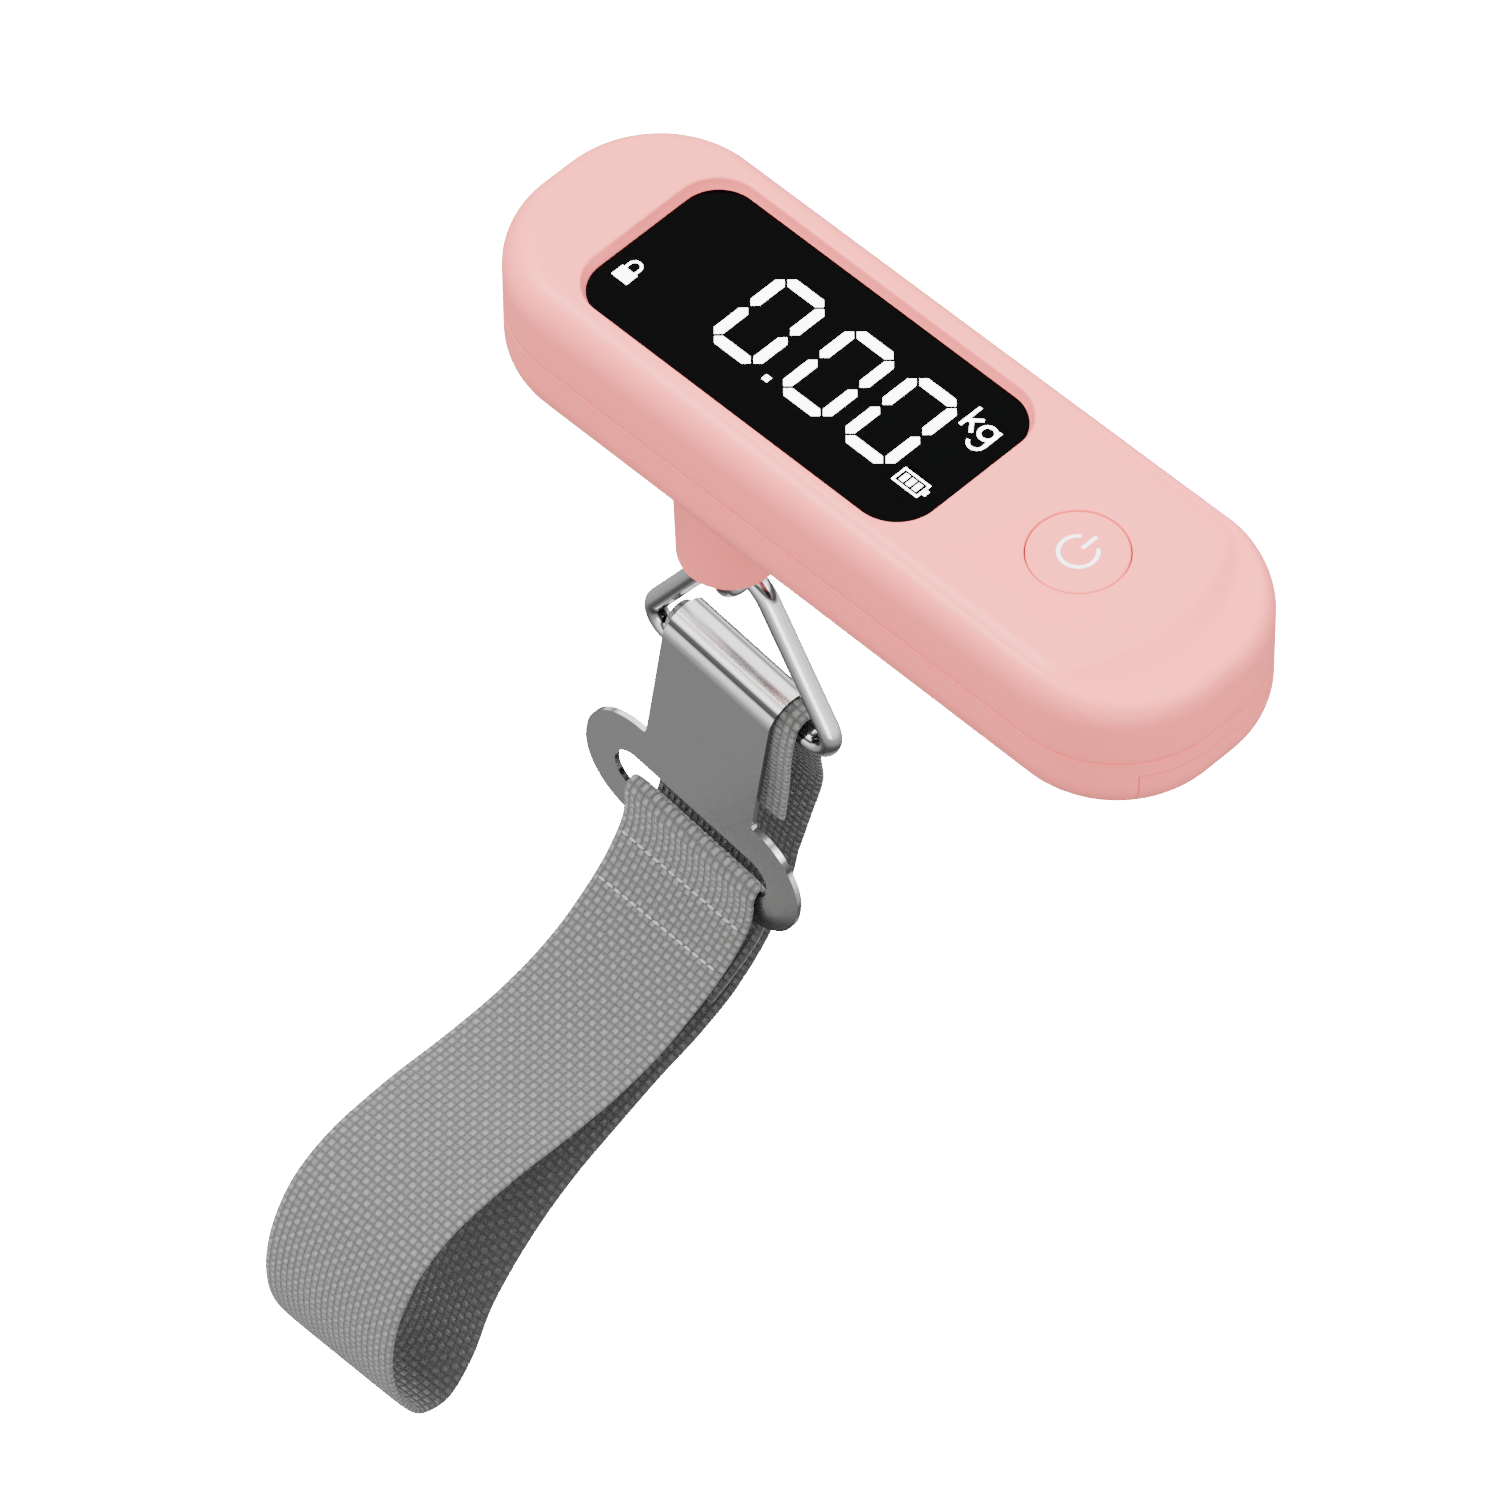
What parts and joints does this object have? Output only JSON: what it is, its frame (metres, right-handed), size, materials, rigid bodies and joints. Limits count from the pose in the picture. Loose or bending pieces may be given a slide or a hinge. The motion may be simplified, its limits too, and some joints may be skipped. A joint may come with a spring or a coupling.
{
  "type": "digital luggage scale",
  "caption": "Hand-held digital luggage scale: rounded body with display and button, neck below, triangular ring, hook plate and webbing loop.",
  "frame": {"origin": "centre of the hand-held body, without its neck", "axes": "+X from the display end to the button end, +Y away from the side the strap's loop hangs out on, +Z out of the display side, so the load pulls along -Z"},
  "size_m": [0.1224, 0.0948, 0.1735],
  "materials": {
    "pink_shell": "satin",
    "window_black": "gloss",
    "gasket_foam": "matte",
    "display_block": "gloss",
    "board_green": "satin",
    "chip_black": "matte",
    "aluminium_beam": "machined",
    "gauge_foil": "satin",
    "zinc_steel": "plated",
    "nickel_contact": "nickel plated",
    "cell_wrap": "gloss",
    "chrome_wire": "polished",
    "chrome_plate": "polished",
    "grey_webbing": "coarse weave"
  },
  "bodies": {
    "handle": {"upper_housing": "pink_shell", "lower_housing": "pink_shell", "display_window": "window_black", "window_gasket": "gasket_foam", "display_module": "display_block", "switch_dome": "nickel_contact", "circuit_board": "board_green", "board_chip": "chip_black", "load_cell": "aluminium_beam", "strain_gauges": "gauge_foil", "load_cell_screws": "zinc_steel", "eye_rod": "chrome_wire", "rod_nut": "zinc_steel", "rod_washer": "zinc_steel", "battery_cells": "cell_wrap", "contact_plates": "nickel_contact", "contact_springs": "nickel_contact", "housing_screws": "zinc_steel"},
    "button": {"button_cap": "pink_shell"},
    "door": {"battery_door": "pink_shell"},
    "ring": {"triangular_ring": "chrome_wire"},
    "strap_loop": {"hook_plate": "chrome_plate", "strap": "grey_webbing"}
  },
  "joints": [
    {"name": "button_press", "type": "slide", "parent": "handle", "child": "button", "axis": [0, 0, -1], "range_m": [0, 0.0005], "stiffness_N_per_m": 1500},
    {"name": "door_slide", "type": "slide", "parent": "handle", "child": "door", "axis": [1, 0, 0], "range_m": [0, 0.012]},
    {"name": "ring_swing", "type": "hinge", "parent": "handle", "child": "ring", "pos_m": [-0.0267, 0, -0.0434], "axis": [1, 0, 0], "range_deg": [-40, 40]},
    {"name": "strap_swing", "type": "hinge", "parent": "ring", "child": "strap_loop", "pos_m": [-0.0267, 0, -0.0683], "axis": [1, 0, 0], "range_deg": [-15, 40]}
  ]
}
